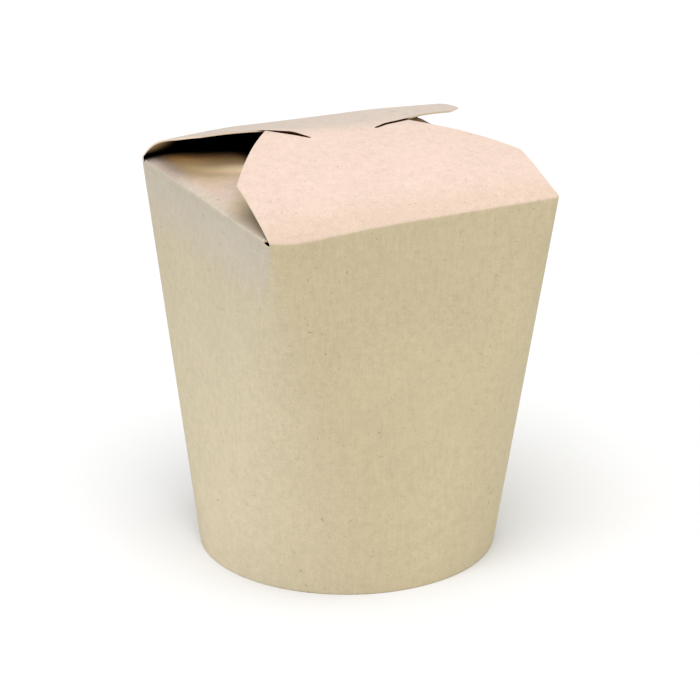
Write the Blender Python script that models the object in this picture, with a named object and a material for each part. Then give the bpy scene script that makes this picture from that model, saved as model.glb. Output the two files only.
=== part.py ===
"""Noodle takeaway box: a kraft board carton that grows from a round foot to a
square rim, shut by four flaps, with a round base pushed up inside its foot.

Metres, +Z up, origin on the ground under the middle of the carton. +X is the
width along the lid's ridge and -Y is the front flap's side.
"""
import math

import bmesh
import bpy
from mathutils import Matrix

MM = 0.001
MERGE_DISTANCE = 0.001 * MM

# Board and walls
BOARD = 0.5 * MM
TOP_WIDTH = 91.0 * MM
TOP_DEPTH = 86.0 * MM
RIM_HEIGHT = 111.3 * MM
CORNER_RADIUS = 0.8 * MM
FOOT_RADIUS = 43.8 * MM
WALL_SEGMENTS = 64

# Foot and base
HEM_WIDTH = 2.0 * MM
BASE_RECESS = 6.0 * MM
BASE_GAP = 0.3 * MM
BASE_SEGMENTS = 64

# Dark space left under the flaps
HEADSPACE = 10.0 * MM

# Lid: height of the ridge above the rim and how it runs along X
RIDGE_MIDDLE = 13.4 * MM
RIDGE_TWIST = -0.062
RIDGE_TWIST_EASE = 3.0
RIDGE_ROUND = 1.0 * MM

# Lid: arch of the front flap, spring of the back flap off its fold, and how
# much each changes along X
FRONT_ARCH = 0.81
FRONT_ARCH_TWIST = 3.3
BACK_SPRING = 0.89
BACK_SPRING_TWIST = 12.2
BACK_REACH = 0.229
BACK_REACH_TWIST = 10.1
BACK_LIFT = 0.8 * MM
BACK_LIFT_TWIST = -14.0
BACK_LIFT_MIDDLE = 0.2
BACK_STEP = 0.5 * MM

# Outline of the two lid flaps, seen from above
FLAP_SIDE = 44.65 * MM
FRONT_CORNER_Y = -21.2 * MM
BACK_CORNER_LEFT_Y = 18.7 * MM
BACK_CORNER_RIGHT_Y = 15.3 * MM
BACK_CHAMFER_X = 39.8 * MM
BACK_CHAMFER_Y = 11.3 * MM
PEAK_X = 23.0 * MM
PEAK_Y = 6.5 * MM
FRONT_BULGE = 0.7 * MM
BACK_HOLLOW = 1.4 * MM

# Slits on both sides of the neck that joins the two lid flaps
SLIT_LEFT_END = (-12.0 * MM, -1.7 * MM)
SLIT_RIGHT_END = (10.0 * MM, 2.4 * MM)
SLIT_HALF_WIDTH = 0.6 * MM
SLIT_END_LENGTH = 1.5 * MM
SLIT_FREE_LENGTH = 5.0 * MM

# Dust flaps, folded in under the lid from the two sides
DUST_DEPTH = 36.0 * MM
DUST_HALF_WIDTH = 41.6 * MM
DUST_STRAIGHT = 10.0 * MM
DUST_END_HALF_WIDTH = 26.0 * MM
DUST_RISE = 0.105
DUST_FREE_Y = 8.0 * MM
DUST_PRESS_REACH = 54.0 * MM
DUST_BULGE_LEFT = 0.9 * MM
DUST_BULGE_RIGHT = 1.8 * MM
DUST_BULGE_PLACE = 5.0 * MM
DUST_BULGE_SPAN = (-20.0 * MM, 20.0 * MM)
DUST_TUCK_LEFT = 0.35
DUST_TUCK_RIGHT = 1.0
DUST_TUCK_START = 37.0 * MM

# The flaps start inside the wall's board, this far behind its outer face
FOLD_INSET = 0.1 * MM
FOLD_DEPTH = 2 * BOARD

# Round holes where the cuts between the flaps end
CORNER_HOLE_RADIUS = 0.9 * MM
CORNER_HOLE_HEIGHT = 4.8 * MM
CORNER_HOLE_SEGMENTS = 12

# Mesh density
FLAP_ROWS = 14
CHAMFER_COLUMNS = 3
WING_COLUMNS = 6
SLIT_COLUMNS = 6
NECK_COLUMNS = 6
ROWS_TO_FOLD = 1.7
DUST_ROWS = 16
DUST_COLUMNS = 12

# How far cutters reach past the faces that they open
CUT_MARGIN = 5.0 * MM
CREASE_DEGREES = 25

KRAFT_OUTSIDE = (0.58, 0.47, 0.32, 1.0)
KRAFT_BASE = (0.55, 0.44, 0.30, 1.0)


def clear_scene():
    for old in list(bpy.data.objects):
        bpy.data.objects.remove(old, do_unlink=True)


def board_material(name, colour):
    """Uncoated kraft board: matt, a pale greyish tan."""
    material = bpy.data.materials.new(name)
    material.use_nodes = True
    shader = material.node_tree.nodes["Principled BSDF"]
    shader.inputs["Base Color"].default_value = colour
    shader.inputs["Roughness"].default_value = 0.85
    shader.inputs["Metallic"].default_value = 0.0
    return material


def object_from(name, shape):
    """Make an object of a finished bmesh."""
    mesh = bpy.data.meshes.new(name)
    shape.to_mesh(mesh)
    shape.free()
    made = bpy.data.objects.new(name, mesh)
    bpy.context.scene.collection.objects.link(made)
    return made


def solid_from(name, shape):
    """Make an object of a closed bmesh, with its faces turned outwards."""
    bmesh.ops.recalc_face_normals(shape, faces=shape.faces)
    return object_from(name, shape)


def smooth_step(value):
    value = min(max(value, 0.0), 1.0)
    return value * value * (3.0 - 2.0 * value)


# The wall is the surface stretched between the round foot and the square rim:
# each straight line on it joins two points where both outlines face alike.


def wall_rulings(inset):
    """Pairs of points (foot, rim) in plan, for an outline moved in by inset."""
    pairs = []
    per_corner = WALL_SEGMENTS // 4
    centre_x = TOP_WIDTH / 2 - CORNER_RADIUS
    centre_y = TOP_DEPTH / 2 - CORNER_RADIUS
    for quarter in range(4):
        start = quarter * math.pi / 2
        sign_x = 1 if quarter in (0, 3) else -1
        sign_y = 1 if quarter in (0, 1) else -1
        for step in range(per_corner + 1):
            angle = start + step / per_corner * math.pi / 2
            across, along = math.cos(angle), math.sin(angle)
            foot = ((FOOT_RADIUS - inset) * across, (FOOT_RADIUS - inset) * along)
            radius = CORNER_RADIUS - inset
            rim = (sign_x * centre_x + radius * across, sign_y * centre_y + radius * along)
            pairs.append((foot, rim))
    return pairs


def wall_hull(name, inset, heights):
    """Closed solid through the wall's outlines, moved in by inset, at some heights.

    Above the rim the side goes straight up.
    """
    shape = bmesh.new()
    for foot, rim in wall_rulings(inset):
        for height in heights:
            share = min(height / RIM_HEIGHT, 1.0)
            x = foot[0] + (rim[0] - foot[0]) * share
            y = foot[1] + (rim[1] - foot[1]) * share
            shape.verts.new((x, y, height))
    bmesh.ops.remove_doubles(shape, verts=shape.verts, dist=MERGE_DISTANCE)
    hull = bmesh.ops.convex_hull(shape, input=shape.verts)
    bmesh.ops.delete(shape, geom=hull["geom_interior"], context="VERTS")
    return solid_from(name, shape)


def turned_disc(name, radius, low, high, segments):
    """Closed upright disc between two heights."""
    shape = bmesh.new()
    bmesh.ops.create_cone(
        shape,
        cap_ends=True,
        segments=segments,
        radius1=radius,
        radius2=radius,
        depth=high - low,
    )
    bmesh.ops.translate(shape, vec=(0, 0, (low + high) / 2), verts=shape.verts)
    return solid_from(name, shape)


# Heights of the lid above the rim, as functions of the place in plan.


def ridge_height(x):
    """The ridge falls from left to right and levels off towards its ends."""
    return RIDGE_MIDDLE + RIDGE_TWIST * x + RIDGE_TWIST_EASE * x ** 3


def front_height(x, y):
    """The front flap rises from its fold in one shallow arch, straight past the middle."""
    share = (y + TOP_DEPTH / 2) / (TOP_DEPTH / 2)
    arch = FRONT_ARCH + FRONT_ARCH_TWIST * x
    return ridge_height(x) * (share + arch * min(share, 1.0) * (1.0 - share))


def back_height(x, y):
    """The back flap springs up steeply at its fold, then runs almost level."""
    share = (TOP_DEPTH / 2 - y) / (TOP_DEPTH / 2)
    spring = BACK_SPRING + BACK_SPRING_TWIST * x
    reach = BACK_REACH * math.exp(BACK_REACH_TWIST * x)
    lift = BACK_LIFT * (1.0 + BACK_LIFT_TWIST * x)
    lift *= BACK_LIFT_MIDDLE + (1.0 - BACK_LIFT_MIDDLE) * min(abs(x) / PEAK_X, 1.0) ** 2
    rise = (1.0 - spring) * share + spring * (1.0 - math.exp(-share / reach))
    return (ridge_height(x) + lift) * rise + BACK_STEP * share ** 2


def neck_height(x, y):
    """Both flaps as one sheet, with the ridge between them rounded over."""
    front = front_height(x, y)
    back = back_height(x, y)
    return (front + back - math.sqrt((front - back) ** 2 + RIDGE_ROUND ** 2)) / 2


def beyond_neck(x):
    """Distance along X from the inner end of the nearer slit, 0 on the neck."""
    return max(SLIT_LEFT_END[0] - x, x - SLIT_RIGHT_END[0], 0.0)


def freedom(x):
    """0 across the neck, growing to 1 where a slit leaves the two flaps free."""
    return smooth_step(beyond_neck(x) / SLIT_FREE_LENGTH)


def slit_half_width(x):
    """A slit opens from nothing to its full width just beside the neck."""
    return SLIT_HALF_WIDTH * min(beyond_neck(x) / SLIT_END_LENGTH, 1.0)


def front_sheet(x, y):
    free = freedom(x)
    return (1.0 - free) * neck_height(x, y) + free * front_height(x, y)


def back_sheet(x, y):
    free = freedom(x)
    return (1.0 - free) * neck_height(x, y) + free * back_height(x, y)


# Outlines of the lid flaps in plan: each is a height y over every x.


def slit_y(x):
    """Line of the slits: straight from each flap's peak down to the neck."""
    left, right = SLIT_LEFT_END, SLIT_RIGHT_END
    if x < left[0]:
        share = (x + PEAK_X) / (left[0] + PEAK_X)
        return PEAK_Y + (left[1] - PEAK_Y) * share
    if x > right[0]:
        share = (PEAK_X - x) / (PEAK_X - right[0])
        return PEAK_Y + (right[1] - PEAK_Y) * share
    share = smooth_step((x - left[0]) / (right[0] - left[0]))
    return left[1] + (right[1] - left[1]) * share


def shoulder_y(x, outer_x, outer_y, bulge):
    """Slanted shoulder between the outer end of a slit and a corner of the flap."""
    share = (abs(x) - PEAK_X) / (outer_x - PEAK_X)
    return PEAK_Y + (outer_y - PEAK_Y) * share + bulge * 4.0 * share * (1.0 - share)


def front_end(x):
    if abs(x) <= PEAK_X:
        return slit_y(x) - slit_half_width(x)
    return shoulder_y(x, FLAP_SIDE, FRONT_CORNER_Y, FRONT_BULGE) - SLIT_HALF_WIDTH


def back_end(x):
    if abs(x) <= PEAK_X:
        return slit_y(x) + slit_half_width(x)
    if abs(x) <= BACK_CHAMFER_X:
        return shoulder_y(x, BACK_CHAMFER_X, BACK_CHAMFER_Y, BACK_HOLLOW) + SLIT_HALF_WIDTH
    corner_y = BACK_CORNER_LEFT_Y if x < 0.0 else BACK_CORNER_RIGHT_Y
    share = (abs(x) - BACK_CHAMFER_X) / (FLAP_SIDE - BACK_CHAMFER_X)
    return BACK_CHAMFER_Y + (corner_y - BACK_CHAMFER_Y) * share + SLIT_HALF_WIDTH


def spread(start, end, count):
    """Evenly spaced values from start up to, but without, end."""
    return [start + (end - start) * step / count for step in range(count)]


def lid_columns():
    """Places along X: side, chamfer, shoulder, slit, neck, and so back out."""
    left, right = SLIT_LEFT_END[0], SLIT_RIGHT_END[0]
    places = spread(-FLAP_SIDE, -BACK_CHAMFER_X, CHAMFER_COLUMNS)
    places += spread(-BACK_CHAMFER_X, -PEAK_X, WING_COLUMNS)
    places += spread(-PEAK_X, left, SLIT_COLUMNS)
    places += spread(left, right, NECK_COLUMNS)
    places += spread(right, PEAK_X, SLIT_COLUMNS)
    places += spread(PEAK_X, BACK_CHAMFER_X, WING_COLUMNS)
    places += spread(BACK_CHAMFER_X, FLAP_SIDE, CHAMFER_COLUMNS)
    return places + [FLAP_SIDE]


def flap_column(shape, x, fold_y, end_y, height):
    """One row of points from inside the wall, over the fold, to the flap's end."""
    start_y = fold_y - math.copysign(FOLD_INSET, fold_y)
    points = [shape.verts.new((x, start_y, RIM_HEIGHT - FOLD_DEPTH))]
    for row in range(FLAP_ROWS + 1):
        share = (row / FLAP_ROWS) ** ROWS_TO_FOLD
        y = start_y + (end_y - start_y) * share
        points.append(shape.verts.new((x, y, RIM_HEIGHT + height(x, y))))
    return points


def add_strips(shape, columns):
    """Fill the faces between neighbouring columns of points."""
    for near, far in zip(columns, columns[1:]):
        for row in range(len(near) - 1):
            shape.faces.new((near[row], far[row], far[row + 1], near[row + 1]))


def lid_sheet():
    """Front and back flap as one board, cut by the two slits beside the neck."""
    shape = bmesh.new()
    places = lid_columns()
    front = [flap_column(shape, x, -TOP_DEPTH / 2, front_end(x), front_sheet) for x in places]
    back = [flap_column(shape, x, TOP_DEPTH / 2, back_end(x), back_sheet) for x in places]
    add_strips(shape, front)
    add_strips(shape, back)
    tips = [column[-1] for column, x in zip(front + back, places + places) if beyond_neck(x) == 0.0]
    bmesh.ops.remove_doubles(shape, verts=tips, dist=MERGE_DISTANCE)
    return thick_board("lid_sheet", shape)


def thick_board(name, shape):
    """Give a sheet its board thickness on the lower side."""
    bmesh.ops.recalc_face_normals(shape, faces=shape.faces)
    if sum(face.normal.z * face.calc_area() for face in shape.faces) < 0:
        bmesh.ops.reverse_faces(shape, faces=shape.faces)
    made = object_from(name, shape)
    solidify = made.modifiers.new("board", "SOLIDIFY")
    solidify.thickness = BOARD
    solidify.offset = -1.0
    return made


def dust_half_width(inward):
    """Half width of a dust flap: straight at first, then a rounded taper."""
    if inward <= DUST_STRAIGHT:
        return DUST_HALF_WIDTH
    share = (inward - DUST_STRAIGHT) / (DUST_DEPTH - DUST_STRAIGHT)
    return DUST_END_HALF_WIDTH + (DUST_HALF_WIDTH - DUST_END_HALF_WIDTH) * math.sqrt(1.0 - share ** 2)


def dust_height(inward, y, bulge, tuck):
    """A dust flap rises inwards, held down by the lid in front and bulged beside its fold at the back.

    The bulge falls off by the share tuck at the back end, to pass under the lid.
    """
    press = 1.0 - ((y - DUST_FREE_Y) / DUST_PRESS_REACH) ** 2
    start, end = DUST_BULGE_SPAN
    swelling = bulge * smooth_step((y - start) / (end - start))
    swelling *= 1.0 - tuck * smooth_step((y - DUST_TUCK_START) / (DUST_HALF_WIDTH - DUST_TUCK_START))
    share = inward / DUST_BULGE_PLACE
    return DUST_RISE * inward * press + swelling * share * math.exp(1.0 - share)


def dust_flap(name, side, bulge, tuck):
    """side is -1 for the flap on the left and 1 for the one on the right.

    bulge is how far the flap swells up beside its fold, and tuck the share of
    that which is lost at its back end.
    """
    shape = bmesh.new()
    columns = []
    for step in range(-1, DUST_COLUMNS + 1):
        inward = 0.0 if step < 0 else DUST_DEPTH * math.sin(step / DUST_COLUMNS * math.pi / 2)
        half = dust_half_width(inward)
        column = []
        for row in range(DUST_ROWS + 1):
            y = half * (2.0 * row / DUST_ROWS - 1.0)
            level = -FOLD_DEPTH if step < 0 else dust_height(inward, y, bulge, tuck)
            x = side * (TOP_WIDTH / 2 - FOLD_INSET - inward)
            column.append(shape.verts.new((x, y, RIM_HEIGHT + level)))
        columns.append(column)
    add_strips(shape, columns)
    return thick_board(name, shape)


def corner_hole(name, x, y):
    """Upright round cutter for the hole at one corner of the rim."""
    low = RIM_HEIGHT - CORNER_HOLE_RADIUS
    hole = turned_disc(name, CORNER_HOLE_RADIUS, low, low + CORNER_HOLE_HEIGHT, CORNER_HOLE_SEGMENTS)
    hole.data.transform(Matrix.Translation((x, y, 0.0)))
    return hole


def combine(target, operation, others):
    """Apply one exact Boolean with every other object, then remove those."""
    group = bpy.data.collections.new(operation.lower())
    bpy.context.scene.collection.children.link(group)
    for other in others:
        group.objects.link(other)
    cut = target.modifiers.new(operation.lower(), "BOOLEAN")
    cut.operation = operation
    cut.operand_type = "COLLECTION"
    cut.collection = group
    cut.solver = "EXACT"
    bpy.context.view_layer.update()
    graph = bpy.context.evaluated_depsgraph_get()
    result = bpy.data.meshes.new_from_object(target.evaluated_get(graph))
    target.modifiers.clear()
    target.data = result
    for other in others:
        bpy.data.objects.remove(other, do_unlink=True)
    bpy.data.collections.remove(group)


def finish(target, material):
    """One material, smooth shading, and sharp edges where the board is creased."""
    target.data.materials.clear()
    target.data.materials.append(material)
    target.data.shade_smooth()
    target.data.set_sharp_from_angle(angle=math.radians(CREASE_DEGREES))


def make_carton():
    """Wall, hem, lid and dust flaps: all one piece of board."""
    carton = wall_hull("carton", 0.0, (0.0, RIM_HEIGHT))
    headspace = wall_hull("headspace", BOARD, (RIM_HEIGHT - HEADSPACE, RIM_HEIGHT, RIM_HEIGHT + HEADSPACE))
    recess = turned_disc("recess", FOOT_RADIUS - HEM_WIDTH, -CUT_MARGIN, BASE_RECESS, BASE_SEGMENTS)
    combine(carton, "DIFFERENCE", [headspace, recess])
    left = dust_flap("dust_left", -1, DUST_BULGE_LEFT, DUST_TUCK_LEFT)
    right = dust_flap("dust_right", 1, DUST_BULGE_RIGHT, DUST_TUCK_RIGHT)
    combine(carton, "UNION", [lid_sheet(), left, right])
    holes = []
    for side in (-1, 1):
        for end in (-1, 1):
            x = side * (TOP_WIDTH / 2 - CORNER_HOLE_RADIUS / 2)
            y = end * (TOP_DEPTH / 2 - CORNER_HOLE_RADIUS / 2)
            holes.append(corner_hole("hole", x, y))
    combine(carton, "DIFFERENCE", holes)
    finish(carton, board_material("kraft_board", KRAFT_OUTSIDE))


def make_base():
    """Round base: a shallow upside-down pan whose skirt stands inside the hem."""
    outer = FOOT_RADIUS - HEM_WIDTH - BASE_GAP
    top = BASE_RECESS - BASE_GAP
    base = turned_disc("base", outer, BASE_GAP, top, BASE_SEGMENTS)
    hollow = turned_disc("base_hollow", outer - BOARD, -CUT_MARGIN, top - BOARD, BASE_SEGMENTS)
    combine(base, "DIFFERENCE", [hollow])
    finish(base, board_material("kraft_base", KRAFT_BASE))


clear_scene()
make_carton()
make_base()
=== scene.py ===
"""Looks of the noodle takeaway box: kraft board wall, lid and side flaps.

Metres, +Z up, -Y is the front. Every surface is worked out with numpy as a
function of two parameters, from the same sizes as the carton's solids.
"""

import math

import bmesh
import bpy
import numpy as np
from mathutils import Matrix, Vector


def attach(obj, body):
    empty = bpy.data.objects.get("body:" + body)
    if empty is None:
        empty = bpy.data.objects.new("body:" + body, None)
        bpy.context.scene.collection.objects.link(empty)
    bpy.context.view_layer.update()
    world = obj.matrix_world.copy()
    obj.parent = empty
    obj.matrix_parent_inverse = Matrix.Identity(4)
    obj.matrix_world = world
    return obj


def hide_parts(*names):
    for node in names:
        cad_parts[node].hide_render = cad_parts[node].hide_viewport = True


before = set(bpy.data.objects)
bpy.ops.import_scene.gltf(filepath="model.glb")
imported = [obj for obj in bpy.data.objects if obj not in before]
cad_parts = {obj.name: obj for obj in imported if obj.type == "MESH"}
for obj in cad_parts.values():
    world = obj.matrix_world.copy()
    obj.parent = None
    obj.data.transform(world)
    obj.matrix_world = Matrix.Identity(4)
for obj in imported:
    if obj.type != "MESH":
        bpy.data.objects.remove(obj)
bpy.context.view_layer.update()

MM = 0.001

# Sizes of the carton
BOARD = 0.5 * MM
TOP_WIDTH = 91.0 * MM
TOP_DEPTH = 86.0 * MM
RIM_HEIGHT = 111.3 * MM
CORNER_RADIUS = 0.8 * MM
FOOT_RADIUS = 43.8 * MM
HEM_WIDTH = 2.0 * MM
BASE_RECESS = 6.0 * MM
HEADSPACE = 10.0 * MM

# Heights of the two lid flaps above the rim
RIDGE_MIDDLE = 13.4 * MM
RIDGE_TWIST = -0.062
RIDGE_TWIST_EASE = 3.0
RIDGE_ROUND = 1.0 * MM
FRONT_ARCH = 0.81
FRONT_ARCH_TWIST = 3.3
BACK_SPRING = 0.89
BACK_SPRING_TWIST = 12.2
BACK_REACH = 0.229
BACK_REACH_TWIST = 10.1
BACK_LIFT = 0.8 * MM
BACK_LIFT_TWIST = -14.0
BACK_LIFT_MIDDLE = 0.2
BACK_STEP = 0.5 * MM

# Outlines of the two lid flaps in plan
FLAP_SIDE = 44.65 * MM
FRONT_CORNER_Y = -21.2 * MM
BACK_CORNER_LEFT_Y = 18.7 * MM
BACK_CORNER_RIGHT_Y = 15.3 * MM
BACK_CHAMFER_X = 39.8 * MM
BACK_CHAMFER_Y = 11.3 * MM
PEAK_X = 23.0 * MM
PEAK_Y = 6.5 * MM
FRONT_BULGE = 0.7 * MM
BACK_HOLLOW = 1.4 * MM
FRONT_EDGE_SLOPE = (PEAK_Y - FRONT_CORNER_Y) / (FLAP_SIDE - PEAK_X)
SLIT_LEFT_END = (-12.0 * MM, -1.7 * MM)
SLIT_RIGHT_END = (10.0 * MM, 2.4 * MM)
SLIT_HALF_WIDTHS = (0.85 * MM, 0.55 * MM)
SLIT_END_LENGTH = 0.8 * MM
SLIT_FREE_LENGTH = 5.0 * MM

# Side flaps folded in under the lid
DUST_DEPTH = 36.0 * MM
DUST_HALF_WIDTH = 41.6 * MM
DUST_STRAIGHT = 10.0 * MM
DUST_END_HALF_WIDTH = 26.0 * MM
DUST_RISE = 0.105
DUST_FREE_Y = 8.0 * MM
DUST_PRESS_REACH = 54.0 * MM
DUST_BULGE_LEFT = 0.9 * MM
DUST_BULGE_RIGHT = 1.8 * MM
DUST_BULGE_PLACE = 5.0 * MM
DUST_BULGE_SPAN = (-20.0 * MM, 20.0 * MM)
DUST_TUCK_LEFT = 0.35
DUST_TUCK_RIGHT = 1.0
DUST_TUCK_START = 37.0 * MM
DUST_FOLD_NARROWING = 0.03
DUST_COLUMNS = 61

# Folds: how far below and beyond its line a fold is rounded, how proud its
# strip lies on the wall, and how a flap narrows into the corner holes
FOLD_ROUND = 0.7 * MM
FOLD_PROUD = 0.03 * MM
FOLD_STRIP = (2.4 * MM, 1.9 * MM, 1.4 * MM)
FOLD_ROWS = 9
FLAP_ROWS = 46
# Rows lie closer together near a fold: their share of the way, to this power
ROW_CROWDING = 1.25
FRONT_FOLD_NARROWING = (0.002, -0.017)
BACK_FOLD_NARROWING = (-0.017, -0.010)
FOLD_NARROWING_REACH = 3.5 * MM
# The front fold sags beside its left corner
SAG_DEPTH = 1.25 * MM
SAG_PLACE = 0.12
SAG_SHARPNESS = 1.5
SAG_REACH = 3.5 * MM

# Notches in the wall's top edge at the four corners
WALL_TOP_DROP = 0.6 * MM
NOTCH_DEPTH = 0.4 * MM
NOTCH_HALF_WIDTH = 0.9 * MM

# Rows of the wall, from the foot up and then down from its top edge
WALL_LOW_ROWS = np.linspace(0.6, 8.0, 8) * MM
WALL_ROWS = np.linspace(10.0, 100.0, 44) * MM
WALL_TOP_ROWS = np.array([9.0, 7.0, 5.0, 3.5, 2.0, 1.0]) * MM
# The foot's edges are rounded through one middle point, and the top edge is bevelled
FOOT_EDGE_ROUND = 0.25 * MM
FOOT_EDGE_MIDDLE = 0.07 * MM
TOP_EDGE_BEVEL = 0.1 * MM
# The hem's inner face eases into the wall's on a stretch that ends at this height
HEM_END = 9.0 * MM
HEM_EASE = 3.0 * MM
# The core reaches a little into the wall's board
CORE_INSET = 0.9 * BOARD

WELD_DISTANCE = 0.004 * MM
CREASE_DEGREES = 40


# Small mesh helpers


def smooth_step(value):
    """3 t^2 - 2 t^3 of the value clipped to 0..1."""
    value = np.clip(value, 0.0, 1.0)
    return value * value * (3.0 - 2.0 * value)


def grid_faces(rows, columns, first=0, wrap_rows=False, wrap_columns=False):
    """Corner numbers of every quad of a grid whose points are numbered row by row."""
    row = np.arange(rows if wrap_rows else rows - 1)
    column = np.arange(columns if wrap_columns else columns - 1)
    row, column = np.meshgrid(row, column, indexing="ij")
    next_row, next_column = (row + 1) % rows, (column + 1) % columns
    corners = [row * columns + column, next_row * columns + column,
               next_row * columns + next_column, row * columns + next_column]
    return first + np.stack(corners, axis=-1).reshape(-1, 4)


def mesh_from(name, points, faces):
    """Mesh of an (n, 3) array of points and an (m, 4) array of corner numbers."""
    mesh = bpy.data.meshes.new(name)
    mesh.vertices.add(len(points))
    mesh.vertices.foreach_set("co", points.astype(np.float32).ravel())
    mesh.loops.add(faces.size)
    mesh.loops.foreach_set("vertex_index", faces.astype(np.int32).ravel())
    mesh.polygons.add(len(faces))
    mesh.polygons.foreach_set("loop_start", np.arange(0, faces.size, 4, dtype=np.int32))
    mesh.update(calc_edges=True)
    return mesh


def weld(mesh):
    """Merge points that lie together, which closes seams and poles."""
    shape = bmesh.new()
    shape.from_mesh(mesh)
    bmesh.ops.remove_doubles(shape, verts=shape.verts, dist=WELD_DISTANCE)
    bmesh.ops.dissolve_degenerate(shape, edges=shape.edges, dist=WELD_DISTANCE / 10)
    bmesh.ops.recalc_face_normals(shape, faces=shape.faces)
    shape.to_mesh(mesh)
    shape.free()


def piece(name, mesh, materials):
    """An object of the carton that rides on its body and stands for its solid."""
    made = bpy.data.objects.new(name, mesh)
    bpy.context.scene.collection.objects.link(made)
    for material in materials:
        mesh.materials.append(material)
    mesh.shade_smooth()
    mesh.set_sharp_from_angle(angle=math.radians(CREASE_DEGREES))
    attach(made, "root")
    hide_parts("carton")
    return made


def board_piece(name, mesh, materials):
    """Give a sheet its board thickness below, with its own underside and cut edge."""
    sheet = bpy.data.objects.new(name + "_sheet", mesh)
    bpy.context.scene.collection.objects.link(sheet)
    for material in materials:
        mesh.materials.append(material)
    thick = sheet.modifiers.new("board", "SOLIDIFY")
    thick.thickness = BOARD
    thick.offset = -1.0
    thick.material_offset = 1
    thick.material_offset_rim = 2
    graph = bpy.context.evaluated_depsgraph_get()
    solid = bpy.data.meshes.new_from_object(sheet.evaluated_get(graph))
    bpy.data.objects.remove(sheet, do_unlink=True)
    return piece(name, solid, [])


# Wall


def rulings(inset):
    """Foot and rim points in plan of every straight line on the wall, moved in by inset.

    Round each corner the foot turns a quarter circle while the rim turns its small
    corner arc; along each side the foot stays and the rim runs straight.
    """
    corner_steps, side_steps = 28, 24
    feet, rims = [], []
    half_x, half_y = TOP_WIDTH / 2 - CORNER_RADIUS, TOP_DEPTH / 2 - CORNER_RADIUS
    radius = CORNER_RADIUS - inset
    for quarter, (sign_x, sign_y) in enumerate(((1, 1), (-1, 1), (-1, -1), (1, -1))):
        angle = (quarter + np.linspace(0.0, 1.0, corner_steps)) * math.pi / 2
        turn = np.stack([np.cos(angle), np.sin(angle)], axis=-1)
        feet.append((FOOT_RADIUS - inset) * turn)
        rims.append(np.array([sign_x * half_x, sign_y * half_y]) + radius * turn)
        ahead = turn[-1]
        along = np.array([-ahead[1], ahead[0]])
        length = 2 * (half_x if quarter % 2 == 0 else half_y)
        share = np.linspace(0.0, 1.0, side_steps + 2)[1:-1, None]
        feet.append(np.repeat(feet[-1][-1:], side_steps, axis=0))
        rims.append(rims[-1][-1] + along * length * share)
    return np.concatenate(feet), np.concatenate(rims)


def front_sag(x):
    """How far the front fold sags: s e^(1-s) to a power, with s counted from the left corner."""
    share = np.clip((x + TOP_WIDTH / 2) / TOP_WIDTH, 0.0, 1.0) / SAG_PLACE
    return SAG_DEPTH * (share * np.exp(1.0 - share)) ** SAG_SHARPNESS


def wall_top(rim):
    """Height of the wall's top edge: just under the folds, with a notch at each corner."""
    corner = np.array([TOP_WIDTH / 2 - CORNER_RADIUS / 2, TOP_DEPTH / 2 - CORNER_RADIUS / 2])
    away = np.linalg.norm(np.abs(rim) - corner, axis=1)
    notch = NOTCH_DEPTH * np.exp(-(away / NOTCH_HALF_WIDTH) ** 4)
    front = rim[:, 1] < -TOP_DEPTH / 2 + 2 * CORNER_RADIUS
    return RIM_HEIGHT - WALL_TOP_DROP - notch - np.where(front, front_sag(rim[:, 0]), 0.0)


def wall_mesh():
    """The wall as a closed ring: out and up the face, over the edge, down the inside.

    A point at height z lies z / rim height of the way from its foot to its rim
    point. The inside is set in by the board, and by the hem's width at the foot.
    """
    up = np.concatenate([[FOOT_EDGE_ROUND], WALL_LOW_ROWS, WALL_ROWS])
    top = wall_top(rulings(0.0)[1])
    near_top = top - np.append(WALL_TOP_ROWS, TOP_EDGE_BEVEL)[:, None]
    face = np.concatenate([
        np.repeat([[0.0], [FOOT_EDGE_MIDDLE]], len(top), axis=1),
        np.repeat(up[:, None], len(top), axis=1),
        near_top,
        top[None],
    ])
    levels = np.concatenate([face, face[::-1]])
    inner_up = BOARD + (HEM_WIDTH - BOARD) * smooth_step((HEM_END - up) / HEM_EASE)
    insets = np.concatenate([
        [FOOT_EDGE_ROUND, FOOT_EDGE_MIDDLE],
        np.zeros(len(up) + len(near_top)),
        [TOP_EDGE_BEVEL, BOARD - TOP_EDGE_BEVEL],
        np.full(len(near_top), BOARD),
        inner_up[::-1],
        [HEM_WIDTH - FOOT_EDGE_MIDDLE, HEM_WIDTH - FOOT_EDGE_ROUND],
    ])
    rows = []
    for inset, level in zip(insets, levels):
        foot, rim = rulings(inset)
        share = (level / RIM_HEIGHT)[:, None]
        rows.append(np.concatenate([foot + (rim - foot) * share, level[:, None]], axis=1))
    faces = grid_faces(len(rows), len(top), wrap_rows=True, wrap_columns=True)
    mesh = mesh_from("wall", np.concatenate(rows), faces)
    weld(mesh)
    return mesh


def core_mesh():
    """What fills the shut carton: inside the wall, from the foot's recess to under the flaps.

    Rings run from the middle of its bottom out, up the inside of the wall and
    back to the middle of its top.
    """
    low, high = BASE_RECESS, RIM_HEIGHT - HEADSPACE
    across, up = 10, 14
    outwards = np.linspace(0.0, 1.0, across)
    shares = np.concatenate([outwards, np.ones(up), outwards[::-1]])
    side_levels = np.linspace(low, high, up + 2)[1:-1]
    levels = np.concatenate([np.full(across, low), side_levels, np.full(across, high)])
    foot, rim = rulings(CORE_INSET)
    rows = []
    for share, level in zip(shares, levels):
        plan = (foot + (rim - foot) * level / RIM_HEIGHT) * share
        rows.append(np.concatenate([plan, np.full((len(plan), 1), level)], axis=1))
    faces = grid_faces(len(rows), len(foot), wrap_columns=True)
    mesh = mesh_from("core", np.concatenate(rows), faces)
    weld(mesh)
    return mesh


# Heights of the lid above the rim


def ridge_height(x):
    """The ridge falls from left to right: m + t x + e x^3."""
    return RIDGE_MIDDLE + RIDGE_TWIST * x + RIDGE_TWIST_EASE * x ** 3


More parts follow.
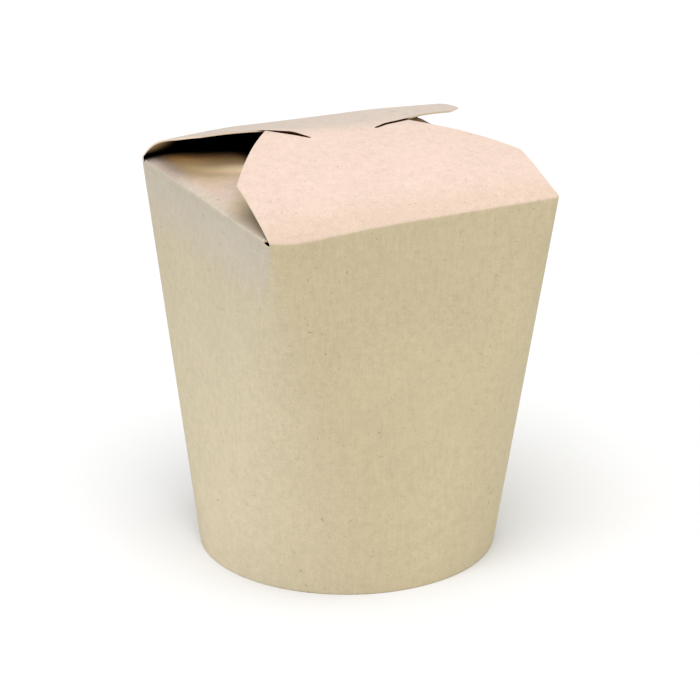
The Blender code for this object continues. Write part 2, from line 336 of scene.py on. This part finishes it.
def front_height(x, y):
    """One shallow arch: ridge times s + a s (1 - s), with s from fold to middle, then straight."""
    share = (y + TOP_DEPTH / 2) / (TOP_DEPTH / 2)
    arch = FRONT_ARCH + FRONT_ARCH_TWIST * x
    return ridge_height(x) * (share + arch * np.minimum(share, 1.0) * (1.0 - share))


def back_height(x, y):
    """A spring off the fold times ridge and lift, and a step s^2, with s from fold to middle.

    The spring is (1 - k) s + k (1 - e^(-s / r)). The lift grows from the middle
    to the peaks by the square of x.
    """
    share = (TOP_DEPTH / 2 - y) / (TOP_DEPTH / 2)
    spring = BACK_SPRING + BACK_SPRING_TWIST * x
    reach = BACK_REACH * np.exp(BACK_REACH_TWIST * x)
    towards_peak = np.minimum(np.abs(x) / PEAK_X, 1.0) ** 2
    lift = BACK_LIFT * (1.0 + BACK_LIFT_TWIST * x)
    lift = lift * (BACK_LIFT_MIDDLE + (1.0 - BACK_LIFT_MIDDLE) * towards_peak)
    rise = (1.0 - spring) * share + spring * (1.0 - np.exp(-share / reach))
    return (ridge_height(x) + lift) * rise + BACK_STEP * share ** 2


def neck_height(x, y):
    """The lower of both flaps, with the ridge between them rounded over."""
    front, back = front_height(x, y), back_height(x, y)
    return (front + back - np.sqrt((front - back) ** 2 + RIDGE_ROUND ** 2)) / 2


def beyond_neck(x):
    """Distance along X from the inner end of the nearer slit, 0 on the neck."""
    return np.maximum(np.maximum(SLIT_LEFT_END[0] - x, x - SLIT_RIGHT_END[0]), 0.0)


def front_sheet(x, y):
    """Neck height on the neck, front flap's height away from it, less the fold's sag."""
    free = smooth_step(beyond_neck(x) / SLIT_FREE_LENGTH)
    sag = front_sag(x) * np.exp(-np.maximum(y + TOP_DEPTH / 2, 0.0) / SAG_REACH)
    return (1.0 - free) * neck_height(x, y) + free * front_height(x, y) - sag


def back_sheet(x, y):
    """Neck height on the neck, back flap's height away from it."""
    free = smooth_step(beyond_neck(x) / SLIT_FREE_LENGTH)
    return (1.0 - free) * neck_height(x, y) + free * back_height(x, y)


# Outlines of the lid flaps in plan


def slit_line(x):
    """Straight from each peak down to the neck, and a smooth step across the neck."""
    left, right = SLIT_LEFT_END, SLIT_RIGHT_END
    on_left = PEAK_Y + (left[1] - PEAK_Y) * (x + PEAK_X) / (left[0] + PEAK_X)
    on_right = PEAK_Y + (right[1] - PEAK_Y) * (PEAK_X - x) / (PEAK_X - right[0])
    across = left[1] + (right[1] - left[1]) * smooth_step((x - left[0]) / (right[0] - left[0]))
    return np.where(x < left[0], on_left, np.where(x > right[0], on_right, across))


def shoulder(x, outer_x, outer_y, bulge):
    """Slanted line from a peak to an outer corner, bulged by 4 b s (1 - s)."""
    share = (np.abs(x) - PEAK_X) / (outer_x - PEAK_X)
    return PEAK_Y + (outer_y - PEAK_Y) * share + bulge * 4.0 * share * (1.0 - share)


def slit_gap(x):
    """Half width of the slits: open to the full just beside the neck, the left one wider."""
    return np.where(x < 0.0, *SLIT_HALF_WIDTHS) * np.minimum(beyond_neck(x) / SLIT_END_LENGTH, 1.0)


def front_end(x):
    """Slit line between the peaks, front shoulders outside them."""
    outside = shoulder(x, FLAP_SIDE, FRONT_CORNER_Y, FRONT_BULGE)
    return np.where(np.abs(x) <= PEAK_X, slit_line(x), outside) - slit_gap(x)


def back_end(x):
    """Slit line between the peaks, back shoulders outside them, then a short chamfer."""
    outside = shoulder(x, BACK_CHAMFER_X, BACK_CHAMFER_Y, BACK_HOLLOW)
    corner_y = np.where(x < 0.0, BACK_CORNER_LEFT_Y, BACK_CORNER_RIGHT_Y)
    share = (np.abs(x) - BACK_CHAMFER_X) / (FLAP_SIDE - BACK_CHAMFER_X)
    chamfer = BACK_CHAMFER_Y + (corner_y - BACK_CHAMFER_Y) * share
    outside = np.where(np.abs(x) <= BACK_CHAMFER_X, outside, chamfer)
    return np.where(np.abs(x) <= PEAK_X, slit_line(x), outside) + slit_gap(x)


# Flaps: each is a grid of columns across the fold


def lid_columns():
    """Places along X, closer together beside the slits' ends and the outline's corners."""
    left, right = SLIT_LEFT_END[0], SLIT_RIGHT_END[0]
    stops = [-FLAP_SIDE, -BACK_CHAMFER_X, -PEAK_X, left - SLIT_END_LENGTH, left,
             right, right + SLIT_END_LENGTH, PEAK_X, BACK_CHAMFER_X, FLAP_SIDE]
    counts = [10, 24, 16, 4, 32, 4, 18, 24, 10]
    parts = [np.linspace(a, b, n, endpoint=False) for a, b, n in zip(stops, stops[1:], counts)]
    return np.concatenate(parts + [[FLAP_SIDE]])


def wall_face(across, depth, half_length, half_depth):
    """How far out the wall's face lies, under a point of its top edge and below the rim.

    Foot circle and rim are mixed by height: flat in the middle, and an arc past
    the place where each corner starts.
    """
    share = 1.0 - depth / RIM_HEIGHT
    radius = share * CORNER_RADIUS + (1.0 - share) * FOOT_RADIUS
    past_corner = np.clip(np.abs(across) - share * (half_length - CORNER_RADIUS), 0.0, radius)
    return share * (half_depth - CORNER_RADIUS) + np.sqrt(radius ** 2 - past_corner ** 2)


def flap_grid(across, half_length, half_depth, sag, end, height, narrowing):
    """Grid (row, column, 3) of a flap in its own axes: across the fold, outwards, up.

    From a strip on the wall's face the sheet turns over the fold on a quadratic
    curve and then follows height(across, outwards) to its end. outwards is
    counted from the carton's middle and falls from half_depth to end. The
    flap is narrower by a share at its fold, which fades away from it.
    """
    fold_z = RIM_HEIGHT - sag
    grid = []
    narrow = across * (1.0 - narrowing)
    for depth in (*FOLD_STRIP, FOLD_ROUND, 0.0):
        face = wall_face(narrow, depth, half_length, half_depth) + FOLD_PROUD
        grid.append(np.stack([narrow, face, fold_z - depth], axis=-1))
    crest, below = grid.pop(), grid.pop()
    above_out = half_depth - FOLD_ROUND
    squeeze = 1.0 - narrowing * np.exp(-FOLD_ROUND / FOLD_NARROWING_REACH)
    above_z = RIM_HEIGHT + height(across * squeeze, np.full_like(across, above_out))
    above = np.stack([across * squeeze, np.full_like(across, above_out), above_z], axis=-1)
    for turn in np.linspace(0.0, 1.0, FOLD_ROWS):
        grid.append((1 - turn) ** 2 * below + 2 * turn * (1 - turn) * crest + turn ** 2 * above)
    for share in np.linspace(0.0, 1.0, FLAP_ROWS + 1)[1:] ** ROW_CROWDING:
        out = above_out + (end - above_out) * share
        squeeze = 1.0 - narrowing * np.exp(-(half_depth - out) / FOLD_NARROWING_REACH)
        x = across * squeeze
        grid.append(np.stack([x, out, RIM_HEIGHT + height(x, out)], axis=-1))
    return np.stack(grid)


def lid_mesh():
    """Front and back flap as one sheet, joined across the neck and cut by two slits."""
    x = lid_columns()
    sides = (x, TOP_WIDTH / 2, TOP_DEPTH / 2)
    narrowing = np.where(x < 0.0, *FRONT_FOLD_NARROWING)
    front = flap_grid(*sides, front_sag(x), -front_end(x),
                      lambda a, out: front_sheet(a, -out), narrowing)
    front = front * np.array([1.0, -1.0, 1.0])
    narrowing = np.where(x < 0.0, *BACK_FOLD_NARROWING)
    back = flap_grid(*sides, np.zeros_like(x), back_end(x), back_sheet, narrowing)
    rows, columns = front.shape[:2]
    points = np.concatenate([front.reshape(-1, 3), back.reshape(-1, 3)])
    front_faces = grid_faces(rows, columns)[:, ::-1]
    back_faces = grid_faces(rows, columns, first=rows * columns)
    mesh = mesh_from("lid", points, np.concatenate([front_faces, back_faces]))
    weld(mesh)
    return mesh


def dust_half_width(inward):
    """Straight at first, then a quarter ellipse down to the end's half width."""
    share = np.clip((inward - DUST_STRAIGHT) / (DUST_DEPTH - DUST_STRAIGHT), 0.0, 1.0)
    return DUST_END_HALF_WIDTH + (DUST_HALF_WIDTH - DUST_END_HALF_WIDTH) * np.sqrt(1.0 - share ** 2)


def dust_height(inward, y, bulge, tuck):
    """Rises inwards, pressed down away from its free place, and bulges beside the fold.

    The bulge is t e^(1-t), with t counted inwards. It falls off by the share
    tuck at the back end, to pass under the lid.
    """
    press = 1.0 - ((y - DUST_FREE_Y) / DUST_PRESS_REACH) ** 2
    start, end = DUST_BULGE_SPAN
    share = inward / DUST_BULGE_PLACE
    swelling = bulge * smooth_step((y - start) / (end - start)) * share * np.exp(1.0 - share)
    tucked = 1.0 - tuck * smooth_step((y - DUST_TUCK_START) / (DUST_HALF_WIDTH - DUST_TUCK_START))
    return DUST_RISE * inward * press + swelling * tucked


def dust_mesh(name, side, bulge, tuck):
    """Side flap: over the fold as the lid's flaps, then inwards under the lid."""
    half = TOP_WIDTH / 2
    share = np.linspace(-1.0, 1.0, DUST_COLUMNS)
    end = np.full_like(share, half - DUST_DEPTH)
    grid = flap_grid(share * DUST_HALF_WIDTH, TOP_DEPTH / 2, half, np.zeros_like(share), end,
                     lambda a, out: dust_height(half - out, a, bulge, tuck), DUST_FOLD_NARROWING)
    inward = half - grid[..., 1]
    ratio = dust_half_width(np.maximum(inward, 0.0)) / DUST_HALF_WIDTH
    y = grid[..., 0] * ratio
    z = np.where(inward > FOLD_ROUND, RIM_HEIGHT + dust_height(inward, y, bulge, tuck), grid[..., 2])
    points = np.stack([side * grid[..., 1], y, z], axis=-1)
    faces = grid_faces(*points.shape[:2])
    if side > 0:
        faces = faces[:, ::-1]
    return mesh_from(name, points.reshape(-1, 3), faces)


# Kraft board

# How strongly each of its patterns changes the tone
GRAIN = 0.36
FLOCK = 0.26
CLOUDS = 0.10
UPRIGHT_STREAKS = 0.12
LEVEL_STREAKS = 0.04
FLECKS = 0.35
FIBRES = 0.27
WARM_PATCHES = 0.25
# The board's fine relief
GRAIN_HEIGHT = 0.6
STREAK_HEIGHT = 0.3
FLOCK_HEIGHT = 0.4
BUMP = 0.25
BUMP_DEPTH = 0.1 * MM


class Wire:
    """A shader value that can be added, subtracted and multiplied like a number."""

    def __init__(self, board, socket):
        self.board, self.socket = board, socket

    def maths(self, operation, first, second):
        """A Math node on two values."""
        return self.board.add("ShaderNodeMath", {"operation": operation}, {0: first, 1: second})

    def __add__(self, other):
        return self.maths("ADD", self, other)

    def __radd__(self, other):
        return self.maths("ADD", other, self)

    def __sub__(self, other):
        return self.maths("SUBTRACT", self, other)

    def __rsub__(self, other):
        return self.maths("SUBTRACT", other, self)

    def __mul__(self, other):
        return self.maths("MULTIPLY", self, other)

    def __rmul__(self, other):
        return self.maths("MULTIPLY", other, self)

    def size(self):
        """The value without its sign."""
        return self.maths("ABSOLUTE", self, 0.0)

    def step(self, start, end):
        """0 at start, 1 at end, smooth between them."""
        settings = {"interpolation_type": "SMOOTHSTEP"}
        inputs = {0: self, 1: start, 2: end, 3: 0.0, 4: 1.0}
        return self.board.add("ShaderNodeMapRange", settings, inputs)


class Board:
    """A material under construction: its node tree and the shader at its end."""

    def __init__(self, name):
        self.material = bpy.data.materials.new(name)
        self.material.use_nodes = True
        self.tree = self.material.node_tree
        self.shader = self.tree.nodes["Principled BSDF"]
        self.place = self.add("ShaderNodeTexCoord", out="Object")

    def feed(self, socket, value):
        """Link a wire to the socket, or set a plain value on it."""
        if isinstance(value, Wire):
            self.tree.links.new(value.socket, socket)
        else:
            socket.default_value = value

    def add(self, kind, settings=None, inputs=None, out=0):
        """A node with its settings and the values or wires of its sockets; gives one output."""
        node = self.tree.nodes.new(kind)
        for key, value in (settings or {}).items():
            setattr(node, key, value)
        for key, value in (inputs or {}).items():
            self.feed(node.inputs[key], value)
        return Wire(self, node.outputs[out])

    def axes(self):
        """The carton's own x, y and z as three wires."""
        return [self.add("ShaderNodeSeparateXYZ", inputs={0: self.place}, out=axis)
                for axis in range(3)]

    def stretched(self, scale):
        """The place, multiplied by a number for each axis."""
        return self.add("ShaderNodeVectorMath", {"operation": "MULTIPLY"}, {0: self.place, 1: scale})

    def noise(self, scale, detail=3.0, roughness=0.55, place=None):
        """Soft noise between 0 and 1, about 0.5 on average."""
        inputs = {"Vector": place or self.place, "Scale": scale,
                  "Detail": detail, "Roughness": roughness}
        return self.add("ShaderNodeTexNoise", inputs=inputs)

    def streaks(self, per_metre):
        """Noise drawn out along the axis that has the smallest number of turns for each metre."""
        return self.noise(scale=1.0, detail=2.0, roughness=0.5, place=self.stretched(per_metre))

    def mix(self, factor, first, second, blend="MIX"):
        """From the first colour at factor 0 to the second, or to their product, at 1."""
        settings = {"data_type": "RGBA", "blend_type": blend}
        return self.add("ShaderNodeMix", settings, {0: factor, 6: first, 7: second}, out=2)

    def scaled(self, colour, factor):
        """The colour times a plain number or wire."""
        return self.add("ShaderNodeVectorMath", {"operation": "SCALE"}, {0: colour, 3: factor})

    def finish(self, colour, height=None, bump=0.0, roughness=0.86, gloss=0.25):
        """Set the shader's colour, fine relief, roughness and gloss, and give the material."""
        self.feed(self.shader.inputs["Base Color"], colour)
        self.shader.inputs["Roughness"].default_value = roughness
        self.shader.inputs["Specular IOR Level"].default_value = gloss
        if height is not None:
            inputs = {"Strength": bump, "Distance": BUMP_DEPTH, "Height": height}
            self.feed(self.shader.inputs["Normal"], self.add("ShaderNodeBump", inputs=inputs))
        return self.material


def rgb(red, green, blue):
    """Linear colour from values as read off a screen, 0 to 255, by the sRGB curve."""
    screen = np.array([red, green, blue]) / 255.0
    linear = np.where(screen <= 0.04045, screen / 12.92, ((screen + 0.055) / 1.055) ** 2.4)
    return (*map(float, linear), 1.0)


def kraft(name, tint, shade=None, mottle=1.0, gloss=0.25):
    """Uncoated kraft board: fine grain, streaks lying both ways, clouds, flecks and fibres.

    A fibre follows the line on which one noise is at its middle, and shows only
    in the places that a second noise picks out. tint is a colour, or a function
    of the material under construction and the x, y and z wires that gives a
    colour wire. shade is a function of x, y and z that gives 0 where the board
    lies deep in the shut carton, and 1 in the open.
    """
    board = Board(name)
    colour = tint(board, *board.axes()) if callable(tint) else tint
    grain = board.noise(scale=2600.0, detail=2.0, roughness=0.6)
    flock = board.noise(scale=420.0, detail=4.0, roughness=0.6)
    cloud = board.noise(scale=60.0, detail=3.0, roughness=0.5)
    upright = board.streaks((1500.0, 1500.0, 160.0))
    level = board.streaks((190.0, 190.0, 1400.0))
    tone = GRAIN * (grain - 0.5) + FLOCK * (flock - 0.5) + CLOUDS * (cloud - 0.5)
    tone = tone + UPRIGHT_STREAKS * (upright - 0.5) + LEVEL_STREAKS * (level - 0.5)
    tone = 1.0 + mottle * tone
    warm_places = board.noise(scale=900.0, detail=2.0, roughness=0.5).step(start=0.60, end=0.80)
    warm = board.mix(warm_places * WARM_PATCHES * mottle, colour, WARM_SHARE, "MULTIPLY")
    from_fleck = board.add("ShaderNodeTexVoronoi", {"feature": "F1"},
                           {"Vector": board.place, "Scale": 520.0})
    fleck_places = board.noise(scale=140.0, detail=1.0).step(start=0.50, end=0.62)
    tone = tone - (1.0 - from_fleck.step(start=0.06, end=0.13)) * fleck_places * FLECKS
    from_fibre = (board.noise(scale=260.0, detail=1.0, roughness=0.5) - 0.5).size()
    fibre_places = board.noise(scale=640.0, detail=1.0, roughness=0.5).step(start=0.62, end=0.68)
    fibre = (1.0 - from_fibre.step(start=0.003, end=0.014)) * fibre_places
    tone = tone - FIBRES * mottle * fibre
    if shade is not None:
        tone = tone * shade(*board.axes())
    height = grain * GRAIN_HEIGHT + upright * STREAK_HEIGHT + flock * FLOCK_HEIGHT
    return board.finish(board.scaled(warm, tone), height, BUMP, gloss=gloss)


def unlit(name, colour, darker):
    """Board that no light reaches, faintly mottled between two colours."""
    board = Board(name)
    return board.finish(board.mix(board.noise(scale=500.0), darker, colour), gloss=0.0)


WALL_KRAFT = rgb(184, 170, 139)
# Greyer wall colour high on the sides: painted cooler light from the sides
SIDE_TOP_COOL_LIGHT_KRAFT = rgb(181, 169, 148)
LID_KRAFT = rgb(203, 181, 167)
# Painted shade: the back flap darker and greyer, and the lid a little darker towards the front fold
LID_REAR_SHADED_KRAFT = rgb(184, 171, 159)
LID_FOLD_SHADED_KRAFT = rgb(199, 177, 159)
DUST_KRAFT = rgb(193, 174, 160)
# Painted shade: browner tones for a side flap's back, deep under the lid and beside the front flap's
# edge, and a painted greyish highlight beside its fold
DUST_BACK_SHADED_KRAFT = rgb(184, 160, 118)
DUST_DEEP_SHADED_KRAFT = rgb(213, 157, 95)
DUST_FOLD_HIGHLIGHT_KRAFT = rgb(188, 176, 158)
DUST_EDGE_SHADOW_KRAFT = rgb(192, 173, 144)
UNDER_KRAFT = rgb(162, 135, 95)
EDGE_KRAFT = rgb(214, 194, 170)
# Painted shadow colour for the cut edges along the slits
SLIT_SHADOW_KRAFT = rgb(125, 72, 42)
BASE_KRAFT = rgb(196, 176, 146)
INSIDE_DARK = rgb(12, 9, 7)
INSIDE_DARKER = (*(0.8 * share for share in INSIDE_DARK[:3]), 1.0)
WARM_SHARE = (0.90, 0.80, 0.66, 1.0)

# A fold's tint changes on this stretch inwards from its line, in the lid and in the side flaps
LID_FOLD_LINE = (-0.03 * MM, 0.15 * MM)
SIDE_FOLD_LINE = (-0.03 * MM, 0.5 * MM)
# The lid's shadow on a side flap starts this far back, and further back away from the middle
SHADOW_START = 13.5 * MM
SHADOW_SLANT = 0.62
# How much paler the side flaps are painted where light comes back from the lid, and how
# much darker by painted shade they are beside the back half of their folds
LIGHT_FROM_LID = 2.6
SHADED_FOLD_STRIP = 0.16
# Painted shadow: the lid's cut edges turn dark on this stretch at the slits' outer ends, to this
# share
SLIT_ENDS = (PEAK_X - 1.0 * MM, PEAK_X + 2.0 * MM)
SLIT_LIGHT = 0.2


def wall_tint(board, x, y, z):
    """One colour, with painted cooler light that makes it a little greyer up under the side folds.
    """
    on_side = x.size().step(start=43.6 * MM, end=45.0 * MM)
    near_rim = z.step(start=RIM_HEIGHT - 25.0 * MM, end=RIM_HEIGHT - 2.0 * MM)
    return board.mix(on_side * near_rim, WALL_KRAFT, SIDE_TOP_COOL_LIGHT_KRAFT)


def lid_tint(board, x, y, z):
    """Wall colour up to the folds, pinker on the flaps, with painted shade: a little darker towards
    the front fold, darker and greyer on the back flap.
    """
    # Painted shade near the front fold and on the back flap, which faces away from the light
    past_front_fold = y.step(start=-41.0 * MM, end=-31.0 * MM)
    front = board.mix(past_front_fold, LID_FOLD_SHADED_KRAFT, LID_KRAFT)
    on_back_flap = y.step(start=-1.0 * MM, end=12.0 * MM)
    flaps = board.mix(on_back_flap, front, LID_REAR_SHADED_KRAFT)
    inside = (TOP_DEPTH / 2 - y.size()).step(*LID_FOLD_LINE)
    return board.mix(inside, WALL_KRAFT, flaps)


def slanting_line(x, y):
    """How far a place on a side flap lies past the line where the lid's shadow turns black."""
    return y - x.size() * SHADOW_SLANT - SHADOW_START


def side_flap_tint(board, x, y, z):
    """Greyish at the fold by painted cooler light, then pinkish, with painted shade browner in the
    back and beside the front flap's edge.
    """
    across, inwards = x.size(), TOP_WIDTH / 2 - x.size()
    # Painted shade: browner towards the back, under the lid
    back = y.step(start=-5.0 * MM, end=25.0 * MM)
    back = back * (1.0 - across.step(start=39.0 * MM, end=45.0 * MM))
    flap = board.mix(back, DUST_KRAFT, DUST_BACK_SHADED_KRAFT)
    # Painted shade: browner still as the lid's shadow line nears
    deep = slanting_line(x, y).step(start=-14.0 * MM, end=-1.0 * MM)
    deep = deep * (1.0 - across.step(start=37.0 * MM, end=43.0 * MM))
    flap = board.mix(deep, flap, DUST_DEEP_SHADED_KRAFT)
    # Painted shadow: browner beside the front flap's edge
    past_edge = y - PEAK_Y + (across - PEAK_X) * FRONT_EDGE_SLOPE
    clear_of_edge = past_edge.step(start=1.0 * MM, end=11.0 * MM)
    flap = board.mix(clear_of_edge, DUST_EDGE_SHADOW_KRAFT, flap)
    # Painted greyish highlight beside the front half of the fold
    beside_fold = 1.0 - inwards.step(start=0.5 * MM, end=4.5 * MM)
    beside_fold = beside_fold * (1.0 - y.step(start=4.0 * MM, end=22.0 * MM))
    flap = board.mix(beside_fold, flap, DUST_FOLD_HIGHLIGHT_KRAFT)
    # The fold's strip takes the wall's side colour, greyer by painted cooler light
    return board.mix(inwards.step(*SIDE_FOLD_LINE), SIDE_TOP_COOL_LIGHT_KRAFT, flap)


def under_lid(x, y, z):
    """The lid's underside catches light only beside its open ends, away from its folds."""
    open_end = x.size().step(start=36.5 * MM, end=45.5 * MM)
    return open_end * (TOP_DEPTH / 2 - y.size()).step(start=1.5 * MM, end=5.5 * MM)


def edge_tint(board, x, y, z):
    """The lid's cut edges are pale, and dark brown in the shadow of the slits."""
    return board.mix(x.size().step(*SLIT_ENDS), SLIT_SHADOW_KRAFT, EDGE_KRAFT)


def slit_shade(x, y, z):
    """Cut edges lie in their own shadow along the slits."""
    return x.size().step(*SLIT_ENDS) * (1.0 - SLIT_LIGHT) + SLIT_LIGHT


def dust_shade(x, y, z):
    """Painted shade: a side flap turns black past a slanting line, at its back corner and deep under
    the lid.

    Before that line it is painted paler, as light comes back to it from the lid above; beside the
    back half of its fold it is painted a little darker.
    """
    line, across = slanting_line(x, y), x.size()
    glow = line.step(start=-23.0 * MM, end=-11.5 * MM)
    glow = glow * (1.0 - across.step(start=35.0 * MM, end=43.0 * MM))
    shaded_strip = y.step(start=5.0 * MM, end=25.0 * MM) * across.step(start=39.0 * MM, end=43.0 * MM)
    lit = 1.0 - line.step(start=-8.0 * MM, end=5.0 * MM)
    lit = lit * (1.0 - y.step(start=37.5 * MM, end=41.5 * MM))
    lit = lit * (1.0 - SHADED_FOLD_STRIP * shaded_strip) * across.step(start=19.0 * MM, end=25.0 * MM)
    shade = (1.0 + LIGHT_FROM_LID * glow) * lit
    inside = (TOP_WIDTH / 2 - across).step(start=0.0, end=0.5 * MM)
    return 1.0 + inside * (shade - 1.0)


wall_board = kraft("wall_kraft", wall_tint)
lid_board = kraft("lid_kraft", lid_tint)
lid_under = kraft("lid_underside", UNDER_KRAFT, under_lid, gloss=0.0)
lid_edge = kraft("lid_cut_edge", edge_tint, slit_shade, mottle=0.5, gloss=0.0)
dust_board = kraft("side_flap_kraft", side_flap_tint, dust_shade, gloss=0.0)
dust_edge = kraft("side_flap_edge", EDGE_KRAFT, dust_shade, mottle=0.5)
dark = unlit("inside_dark", INSIDE_DARK, INSIDE_DARKER)

piece("carton_wall", wall_mesh(), [wall_board])
piece("carton_core", core_mesh(), [dark])
board_piece("lid_flaps", lid_mesh(), [lid_board, lid_under, lid_edge])
left_flap = dust_mesh("side_flap_left", -1, DUST_BULGE_LEFT, DUST_TUCK_LEFT)
right_flap = dust_mesh("side_flap_right", 1, DUST_BULGE_RIGHT, DUST_TUCK_RIGHT)
board_piece("side_flap_left", left_flap, [dust_board, dark, dust_edge])
board_piece("side_flap_right", right_flap, [dust_board, dark, dust_edge])

base_board = kraft("base_kraft", BASE_KRAFT)
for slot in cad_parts["base"].material_slots:
    slot.material = base_board


# Floor, light and camera

FLOOR_REACH = 4.0
FLOOR_WHITE = (0.68, 0.68, 0.68, 1.0)
PANEL_LENGTH = 0.14
PANEL_WIDTH = 0.02
PANEL_HEIGHT = 0.012

AZIMUTH = -26.66
ELEVATION = 20.97
DISTANCE = 10.15 * TOP_WIDTH
AIM_RIGHT = 0.0099 * TOP_WIDTH
AIM_HEIGHT = 0.639 * TOP_WIDTH
FOCAL_PIXELS = 3162.0
IMAGE_PIXELS = 700.0
SENSOR_WIDTH = 36.0
CLIP_START = 0.05


def add_floor():
    """A plain pale floor, far larger than the view."""
    corners = FLOOR_REACH * np.array([[-1.0, -1.0, 0.0], [1.0, -1.0, 0.0],
                                      [1.0, 1.0, 0.0], [-1.0, 1.0, 0.0]])
    floor = bpy.data.objects.new("floor", mesh_from("floor", corners, np.array([[0, 1, 2, 3]])))
    bpy.context.scene.collection.objects.link(floor)
    board = Board("floor_white")
    floor.data.materials.append(board.finish(FLOOR_WHITE, roughness=0.9))


def add_light(name, strength, degrees, softness, colour):
    """A soft distant light; the degrees turn it about X and then about Z."""
    lamp = bpy.data.lights.new(name, "SUN")
    lamp.energy = strength
    lamp.angle = math.radians(softness)
    lamp.color = colour
    made = bpy.data.objects.new(name, lamp)
    made.rotation_euler = (math.radians(degrees[0]), 0.0, math.radians(degrees[1]))
    bpy.context.scene.collection.objects.link(made)


def add_low_panel(name, distance, degrees, watts, colour):
    """A soft strip of light low beside the box; the degrees run from the front to the left."""
    lamp = bpy.data.lights.new(name, "AREA")
    lamp.shape = "RECTANGLE"
    lamp.size, lamp.size_y = PANEL_LENGTH, PANEL_WIDTH
    lamp.energy = watts
    lamp.color = colour
    made = bpy.data.objects.new(name, lamp)
    turn = math.radians(degrees)
    made.location = (-distance * math.sin(turn), -distance * math.cos(turn), PANEL_HEIGHT)
    made.rotation_euler = (math.radians(90.0), 0.0, -turn)
    made.visible_camera = False
    bpy.context.scene.collection.objects.link(made)


def add_sky(strength):
    """White light from all sides."""
    sky = bpy.data.worlds.new("studio")
    sky.use_nodes = True
    glow = sky.node_tree.nodes["Background"]
    glow.inputs["Color"].default_value = (1.0, 1.0, 1.0, 1.0)
    glow.inputs["Strength"].default_value = strength
    bpy.context.scene.world = sky


def add_camera():
    """Camera at the photograph's angle, straight at a point over the foot."""
    turn, tilt = math.radians(AZIMUTH), math.radians(ELEVATION)
    level = math.cos(tilt)
    back = Vector((math.sin(turn) * level, -math.cos(turn) * level, math.sin(tilt)))
    right = Vector((math.cos(turn), math.sin(turn), 0.0))
    up = back.cross(right)
    eye = right * AIM_RIGHT + Vector((0.0, 0.0, AIM_HEIGHT)) + back * DISTANCE
    lens = bpy.data.cameras.new("camera")
    lens.sensor_width = SENSOR_WIDTH
    lens.lens = FOCAL_PIXELS / IMAGE_PIXELS * SENSOR_WIDTH
    lens.clip_start = CLIP_START
    made = bpy.data.objects.new("camera", lens)
    made.matrix_world = Matrix((
        (right.x, up.x, back.x, eye.x),
        (right.y, up.y, back.y, eye.y),
        (right.z, up.z, back.z, eye.z),
        (0.0, 0.0, 0.0, 1.0),
    ))
    bpy.context.scene.collection.objects.link(made)
    bpy.context.scene.camera = made


add_floor()
add_sky(strength=0.80)
add_light("key", strength=2.45, degrees=(18.0, -30.0), softness=50.0, colour=(1.0, 0.985, 0.97))
add_light("left_fill", strength=0.62, degrees=(86.0, -90.0), softness=30.0, colour=(0.0, 0.31, 1.0))
add_light("right_fill", strength=0.55, degrees=(86.0, 90.0), softness=30.0, colour=(0.5, 0.9, 1.0))
add_low_panel("low_left", distance=0.165, degrees=80.0, watts=0.070, colour=(0.82, 0.84, 0.92))
add_low_panel("low_front", distance=0.17, degrees=-25.0, watts=0.028, colour=(1.0, 0.99, 0.94))
add_camera()
bpy.context.scene.view_settings.view_transform = "Standard"
